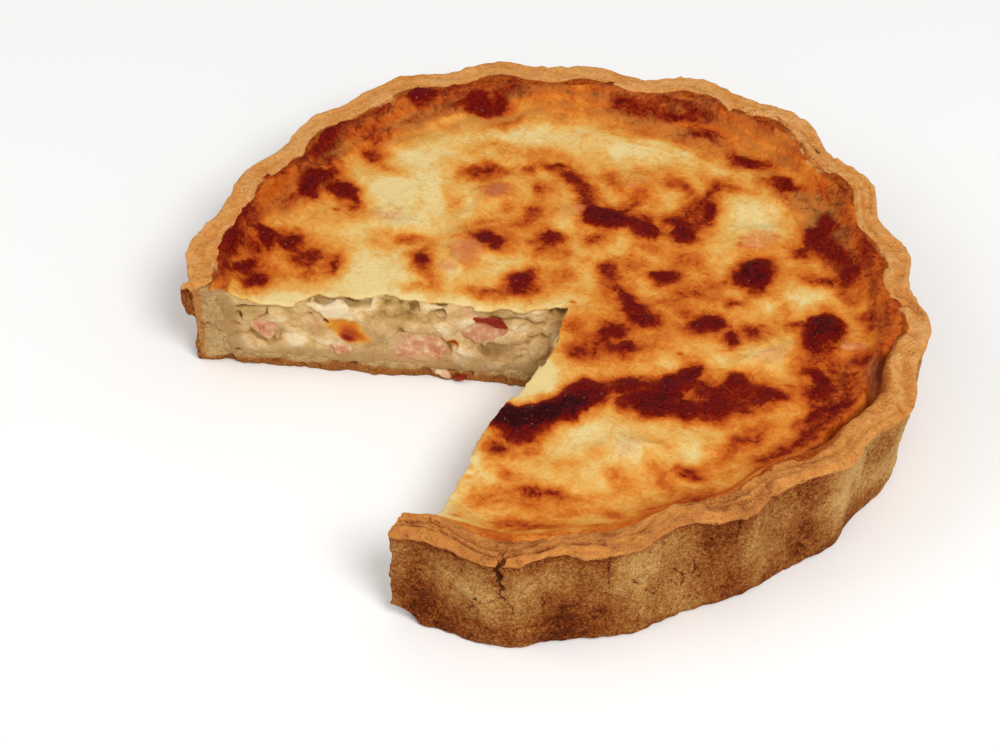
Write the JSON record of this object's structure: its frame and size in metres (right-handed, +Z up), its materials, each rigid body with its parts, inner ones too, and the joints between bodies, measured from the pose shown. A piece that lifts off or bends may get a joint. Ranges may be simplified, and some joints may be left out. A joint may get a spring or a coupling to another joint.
{
  "type": "quiche",
  "caption": "Deep round quiche with ham in a fluted pastry crust, browned on top, with one wedge cut out.",
  "frame": {"origin": "middle of the flat underside, at the centre of the whole outline's box", "axes": "+Z up, out of the filling's top; the missing wedge lies between -X and -Y, so that the front is at -Y and a little towards +X"},
  "size_m": [0.2265, 0.2247, 0.0384],
  "materials": {
    "crust": "baked shortcrust pastry, golden brown, dry and slightly grainy, darker at the foot and on the crests of the flutes",
    "filling": "baked egg, cream and cheese filling, pale yellow with orange and dark brown scorched patches, slightly moist",
    "ham": "diced cooked ham, pale pink and moist"
  },
  "bodies": {
    "root": {"crust": "crust", "filling": "filling", "ham_far_1": "ham", "ham_far_2": "ham", "ham_far_3": "ham", "ham_far_4": "ham", "ham_near_1": "ham", "ham_near_2": "ham", "ham_near_3": "ham", "ham_near_4": "ham", "ham_near_5": "ham", "ham_top_1": "ham", "ham_top_2": "ham", "ham_top_3": "ham", "ham_top_4": "ham", "ham_top_5": "ham", "ham_top_6": "ham", "ham_top_7": "ham", "ham_top_8": "ham"}
  },
  "joints": []
}
